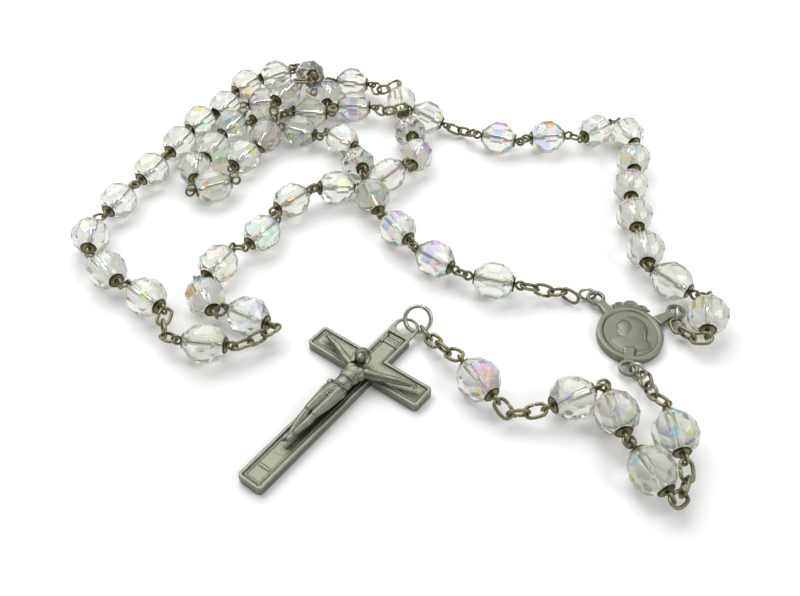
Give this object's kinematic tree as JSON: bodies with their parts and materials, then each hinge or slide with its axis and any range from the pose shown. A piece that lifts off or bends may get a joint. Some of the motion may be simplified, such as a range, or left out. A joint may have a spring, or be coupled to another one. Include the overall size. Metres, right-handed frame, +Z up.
{
  "type": "rosary",
  "caption": "Rosary of faceted glass beads on looped wire pins with chain links, an oval centre medal with lugs and a hanging crucifix, lying loosely gathered on a flat surface.",
  "frame": {"origin": "on the surface it lies on, under the middle of the layout's box", "axes": "+Z up from the surface; -Y towards the crucifix side, +X towards the decade that lies apart"},
  "size_m": [0.1372, 0.1426, 0.0131],
  "materials": {
    "crystal": "clear faceted glass with an iridescent coating",
    "wire": "tarnished nickel-brass wire",
    "silver_wire": "bright nickel plated wire",
    "pewter": "antique cast pewter, darkened in the recesses"
  },
  "bodies": {
    "heap": {"decade_2": "crystal", "decade_3": "crystal", "decade_4": "crystal", "decade_5": "crystal", "our_father_1_chain": "wire", "our_father_3_chain": "wire", "our_father_4_chain": "wire"},
    "crucifix": {"crucifix_cross": "pewter", "crucifix_corpus": "pewter"},
    "decade_1_wire": {"decade_1_wire": "wire"},
    "decade_1_bead_01": {"decade_1_bead_01": "crystal"},
    "decade_1_bead_02": {"decade_1_bead_02": "crystal"},
    "decade_1_bead_03": {"decade_1_bead_03": "crystal"},
    "decade_1_bead_04": {"decade_1_bead_04": "crystal"},
    "decade_1_bead_05": {"decade_1_bead_05": "crystal"},
    "decade_1_bead_06": {"decade_1_bead_06": "crystal"},
    "decade_1_bead_07": {"decade_1_bead_07": "crystal"},
    "decade_1_bead_08": {"decade_1_bead_08": "crystal"},
    "decade_1_bead_09": {"decade_1_bead_09": "crystal"},
    "decade_1_bead_10": {"decade_1_bead_10": "crystal"},
    "our_father_1_bead": {"our_father_1_bead": "crystal"},
    "our_father_3_bead": {"our_father_3_bead": "crystal"},
    "our_father_4_bead": {"our_father_4_bead": "crystal"},
    "left_link_01": {"left_link_01": "wire"},
    "left_link_02": {"left_link_02": "wire"},
    "left_link_03": {"left_link_03": "wire"},
    "left_link_04": {"left_link_04": "wire"},
    "left_lug_ring": {"left_lug_ring": "silver_wire"},
    "right_link_01": {"right_link_01": "wire"},
    "right_link_02": {"right_link_02": "wire"},
    "right_link_03": {"right_link_03": "wire"},
    "right_lug_ring": {"right_lug_ring": "silver_wire"},
    "medal": {"medal": "pewter"},
    "pendant_lug_ring": {"pendant_lug_ring": "silver_wire"},
    "pendant_link_01": {"pendant_link_01": "wire"},
    "pendant_link_02": {"pendant_link_02": "wire"},
    "pendant_link_03": {"pendant_link_03": "wire"},
    "pendant_pin_01": {"pendant_pin_01": "wire"},
    "pendant_bead_01": {"pendant_bead_01": "crystal"},
    "pendant_link_04": {"pendant_link_04": "wire"},
    "pendant_link_05": {"pendant_link_05": "wire"},
    "pendant_link_06": {"pendant_link_06": "wire"},
    "pendant_pin_02": {"pendant_pin_02": "wire"},
    "pendant_bead_02": {"pendant_bead_02": "crystal"},
    "pendant_link_07": {"pendant_link_07": "wire"},
    "pendant_pin_03": {"pendant_pin_03": "wire"},
    "pendant_bead_03": {"pendant_bead_03": "crystal"},
    "pendant_link_08": {"pendant_link_08": "wire"},
    "pendant_pin_04": {"pendant_pin_04": "wire"},
    "pendant_bead_04": {"pendant_bead_04": "crystal"},
    "pendant_link_09": {"pendant_link_09": "wire"},
    "pendant_link_10": {"pendant_link_10": "wire"},
    "pendant_link_11": {"pendant_link_11": "wire"},
    "pendant_pin_05": {"pendant_pin_05": "wire"},
    "pendant_bead_05": {"pendant_bead_05": "crystal"},
    "pendant_link_12": {"pendant_link_12": "wire"},
    "pendant_link_13": {"pendant_link_13": "wire"},
    "pendant_link_14": {"pendant_link_14": "wire"},
    "pendant_link_15": {"pendant_link_15": "wire"},
    "crucifix_jump_ring": {"crucifix_jump_ring": "silver_wire"}
  },
  "joints": [
    {"name": "our_father_1_bead_spin", "type": "hinge", "parent": "heap", "child": "our_father_1_bead", "pos_m": [0.01057, 0.0433, 0.00407], "axis": [-0.9033, 0.3288, 0.2756], "continuous": true},
    {"name": "our_father_3_bead_spin", "type": "hinge", "parent": "heap", "child": "our_father_3_bead", "pos_m": [-0.03413, -0.0356, 0.00382], "axis": [0.9903, -0.1392, 0], "continuous": true},
    {"name": "our_father_4_bead_spin", "type": "hinge", "parent": "heap", "child": "our_father_4_bead", "pos_m": [-0.00983, 0.0609, 0.00382], "axis": [-0.9848, 0.1736, 0], "continuous": true},
    {"name": "decade_1_wire_turn", "type": "hinge", "parent": "heap", "child": "decade_1_wire", "pos_m": [0.02218, 0.03573, 0.00382], "axis": [0, 0, 1], "range_deg": [0, 6]},
    {"name": "decade_1_bead_01_spin", "type": "hinge", "parent": "decade_1_wire", "child": "decade_1_bead_01", "pos_m": [0.02837, 0.0339, 0.00382], "axis": [0.959, -0.2835, 0], "continuous": true},
    {"name": "decade_1_bead_02_spin", "type": "hinge", "parent": "decade_1_wire", "child": "decade_1_bead_02", "pos_m": [0.04067, 0.0344, 0.00382], "axis": [0.9914, 0.1309, 0], "continuous": true},
    {"name": "decade_1_bead_03_spin", "type": "hinge", "parent": "decade_1_wire", "child": "decade_1_bead_03", "pos_m": [0.05337, 0.0372, 0.00382], "axis": [0.766, 0.6428, 0], "continuous": true},
    {"name": "decade_1_bead_04_spin", "type": "hinge", "parent": "decade_1_wire", "child": "decade_1_bead_04", "pos_m": [0.06137, 0.0359, 0.00382], "axis": [0.2079, -0.9781, 0], "continuous": true},
    {"name": "decade_1_bead_05_spin", "type": "hinge", "parent": "decade_1_wire", "child": "decade_1_bead_05", "pos_m": [0.06057, 0.0247, 0.00382], "axis": [-0.1622, -0.9868, 0], "continuous": true},
    {"name": "decade_1_bead_06_spin", "type": "hinge", "parent": "decade_1_wire", "child": "decade_1_bead_06", "pos_m": [0.05777, 0.014, 0.00382], "axis": [-0.1909, -0.9816, 0], "continuous": true},
    {"name": "decade_1_bead_07_spin", "type": "hinge", "parent": "decade_1_wire", "child": "decade_1_bead_07", "pos_m": [0.05637, 0.0031, 0.00382], "axis": [-0.0618, -0.9981, 0], "continuous": true},
    {"name": "decade_1_bead_08_spin", "type": "hinge", "parent": "decade_1_wire", "child": "decade_1_bead_08", "pos_m": [0.05637, -0.0086, 0.00382], "axis": [-0.1219, -0.9925, 0], "continuous": true},
    {"name": "decade_1_bead_09_spin", "type": "hinge", "parent": "decade_1_wire", "child": "decade_1_bead_09", "pos_m": [0.05967, -0.0184, 0.00382], "axis": [0.6691, -0.7431, 0], "continuous": true},
    {"name": "decade_1_bead_10_spin", "type": "hinge", "parent": "decade_1_wire", "child": "decade_1_bead_10", "pos_m": [0.06457, -0.0282, 0.00382], "axis": [-0.2727, -0.9621, 0], "continuous": true},
    {"name": "right_link_01_turn", "type": "hinge", "parent": "decade_1_wire", "child": "right_link_01", "pos_m": [0.06281, -0.03441, 0.00382], "axis": [0, 0, -1], "range_deg": [-2.2, 3.4]},
    {"name": "right_link_02_turn", "type": "hinge", "parent": "right_link_01", "child": "right_link_02", "pos_m": [0.06078, -0.0337, 0.00301], "axis": [0, 0, 1], "range_deg": [-4.6, 1.6]},
    {"name": "right_link_03_turn", "type": "hinge", "parent": "right_link_02", "child": "right_link_03", "pos_m": [0.05867, -0.03058, 0.00201], "axis": [0, 0, -1], "range_deg": [-3.2, 5]},
    {"name": "right_lug_ring_turn", "type": "hinge", "parent": "right_link_03", "child": "right_lug_ring", "pos_m": [0.05863, -0.02828, 0.00191], "axis": [0, 0, 1], "range_deg": [-9.7, 2.4]},
    {"name": "medal_turn", "type": "hinge", "parent": "right_lug_ring", "child": "medal", "pos_m": [0.05949, -0.02504, 0.00201], "axis": [0, 0, -1], "range_deg": [-3.2, 7.2]},
    {"name": "left_lug_ring_turn", "type": "hinge", "parent": "medal", "child": "left_lug_ring", "pos_m": [0.0439, -0.02097, 0.00201], "axis": [0, 0, 1], "range_deg": [-20, 15]},
    {"name": "left_link_01_turn", "type": "hinge", "parent": "heap", "child": "left_link_01", "pos_m": [0.02908, -0.02006, 0.00382], "axis": [0, 0, -1], "range_deg": [-6.7, 15]},
    {"name": "left_link_02_turn", "type": "hinge", "parent": "left_link_01", "child": "left_link_02", "pos_m": [0.03118, -0.01961, 0.00301], "axis": [0, 0, 1], "range_deg": [-20, 7.2]},
    {"name": "left_link_03_turn", "type": "hinge", "parent": "left_link_02", "child": "left_link_03", "pos_m": [0.03493, -0.02041, 0.00231], "axis": [0, 0, -1], "range_deg": [-14, 15]},
    {"name": "left_link_04_turn", "type": "hinge", "parent": "left_link_03", "child": "left_link_04", "pos_m": [0.03708, -0.01963, 0.00201], "axis": [0, 0, 1], "range_deg": [-20, 15]},
    {"name": "pendant_lug_ring_turn", "type": "hinge", "parent": "medal", "child": "pendant_lug_ring", "pos_m": [0.04688, -0.03986, 0.00201], "axis": [0, 0, -1], "range_deg": [-20, 10.5]},
    {"name": "pendant_link_01_turn", "type": "hinge", "parent": "pendant_lug_ring", "child": "pendant_link_01", "pos_m": [0.04941, -0.04213, 0.00201], "axis": [0, 0, 1], "range_deg": [-14, 15]},
    {"name": "pendant_link_02_turn", "type": "hinge", "parent": "pendant_link_01", "child": "pendant_link_02", "pos_m": [0.04913, -0.04442, 0.00191], "axis": [0, 0, -1], "range_deg": [-20, 10.5]},
    {"name": "pendant_link_03_turn", "type": "hinge", "parent": "pendant_link_02", "child": "pendant_link_03", "pos_m": [0.0499, -0.04805, 0.00311], "axis": [0, 0, 1], "range_deg": [-14, 15]},
    {"name": "pendant_pin_01_turn", "type": "hinge", "parent": "pendant_link_03", "child": "pendant_pin_01", "pos_m": [0.05094, -0.05001, 0.00371], "axis": [0, 0, -1], "range_deg": [-20, 10.5]},
    {"name": "pendant_bead_01_spin", "type": "hinge", "parent": "pendant_pin_01", "child": "pendant_bead_01", "pos_m": [0.05117, -0.05645, 0.00381], "axis": [0.0349, -0.9993, 0.0155], "continuous": true},
    {"name": "pendant_link_04_turn", "type": "hinge", "parent": "pendant_pin_01", "child": "pendant_link_04", "pos_m": [0.05139, -0.0629, 0.00391], "axis": [0, 0, 1], "range_deg": [-9.7, 15]},
    {"name": "pendant_link_05_turn", "type": "hinge", "parent": "pendant_link_04", "child": "pendant_link_05", "pos_m": [0.0512, -0.06508, 0.00321], "axis": [0, 0, -1], "range_deg": [-20, 7.2]},
    {"name": "pendant_link_06_turn", "type": "hinge", "parent": "pendant_link_05", "child": "pendant_link_06", "pos_m": [0.04955, -0.06861, 0.00321], "axis": [0, 0, 1], "range_deg": [-6.7, 15]},
    {"name": "pendant_pin_02_turn", "type": "hinge", "parent": "pendant_link_06", "child": "pendant_pin_02", "pos_m": [0.04783, -0.07006, 0.00371], "axis": [0, 0, -1], "range_deg": [-20, 3.4]},
    {"name": "pendant_bead_02_spin", "type": "hinge", "parent": "pendant_pin_02", "child": "pendant_bead_02", "pos_m": [0.04542, -0.06408, 0.00381], "axis": [-0.3746, 0.9271, 0.0155], "continuous": true},
    {"name": "pendant_link_07_turn", "type": "hinge", "parent": "pendant_pin_02", "child": "pendant_link_07", "pos_m": [0.043, -0.0581, 0.00391], "axis": [0, 0, 1], "range_deg": [-14, 15]},
    {"name": "pendant_pin_03_turn", "type": "hinge", "parent": "pendant_link_07", "child": "pendant_pin_03", "pos_m": [0.04255, -0.05863, 0.00391], "axis": [0, 0, -1], "range_deg": [-20, 5]},
    {"name": "pendant_bead_03_spin", "type": "hinge", "parent": "pendant_pin_03", "child": "pendant_bead_03", "pos_m": [0.04176, -0.05223, 0.00386], "axis": [-0.1219, 0.9925, -0.0078], "continuous": true},
    {"name": "pendant_link_08_turn", "type": "hinge", "parent": "pendant_pin_03", "child": "pendant_link_08", "pos_m": [0.04098, -0.04583, 0.00381], "axis": [0, 0, 1], "range_deg": [-14, 2.4]},
    {"name": "pendant_pin_04_turn", "type": "hinge", "parent": "pendant_link_08", "child": "pendant_pin_04", "pos_m": [0.04032, -0.04607, 0.00381], "axis": [0, 0, -1], "range_deg": [-3.2, 10.5]},
    {"name": "pendant_bead_04_spin", "type": "hinge", "parent": "pendant_pin_04", "child": "pendant_bead_04", "pos_m": [0.03447, -0.0488, 0.00386], "axis": [-0.9063, -0.4226, 0.0078], "continuous": true},
    {"name": "pendant_link_09_turn", "type": "hinge", "parent": "pendant_pin_04", "child": "pendant_link_09", "pos_m": [0.02863, -0.05152, 0.00391], "axis": [0, 0, 1], "range_deg": [-20, 15]},
    {"name": "pendant_link_10_turn", "type": "hinge", "parent": "pendant_link_09", "child": "pendant_link_10", "pos_m": [0.02644, -0.05167, 0.00321], "axis": [0, 0, -1], "range_deg": [-20, 15]},
    {"name": "pendant_link_11_turn", "type": "hinge", "parent": "pendant_link_10", "child": "pendant_link_11", "pos_m": [0.02255, -0.05181, 0.00301], "axis": [0, 0, 1], "range_deg": [-20, 15]},
    {"name": "pendant_pin_05_turn", "type": "hinge", "parent": "pendant_link_11", "child": "pendant_pin_05", "pos_m": [0.02122, -0.05011, 0.00381], "axis": [0, 0, -1], "range_deg": [-20, 15]},
    {"name": "pendant_bead_05_spin", "type": "hinge", "parent": "pendant_pin_05", "child": "pendant_bead_05", "pos_m": [0.01784, -0.04462, 0.00386], "axis": [-0.5255, 0.8508, 0.0078], "continuous": true},
    {"name": "pendant_link_12_turn", "type": "hinge", "parent": "pendant_pin_05", "child": "pendant_link_12", "pos_m": [0.01445, -0.03914, 0.00391], "axis": [0, 0, 1], "range_deg": [-20, 15]},
    {"name": "pendant_link_13_turn", "type": "hinge", "parent": "pendant_link_12", "child": "pendant_link_13", "pos_m": [0.01292, -0.03756, 0.00321], "axis": [0, 0, -1], "range_deg": [-20, 15]},
    {"name": "pendant_link_14_turn", "type": "hinge", "parent": "pendant_link_13", "child": "pendant_link_14", "pos_m": [0.01051, -0.03458, 0.00251], "axis": [0, 0, 1], "range_deg": [-20, 15]},
    {"name": "pendant_link_15_turn", "type": "hinge", "parent": "pendant_link_14", "child": "pendant_link_15", "pos_m": [0.00933, -0.0327, 0.00191], "axis": [0, 0, -1], "range_deg": [-20, 15]},
    {"name": "crucifix_jump_ring_turn", "type": "hinge", "parent": "pendant_link_15", "child": "crucifix_jump_ring", "pos_m": [0.0079, -0.02916, 0.00111], "axis": [0, 0, 1], "range_deg": [-20, 10.5]},
    {"name": "crucifix_turn", "type": "hinge", "parent": "crucifix_jump_ring", "child": "crucifix", "pos_m": [0.0046, -0.02974, 0.00186], "axis": [0, 0, -1], "range_deg": [-20, 15]}
  ]
}
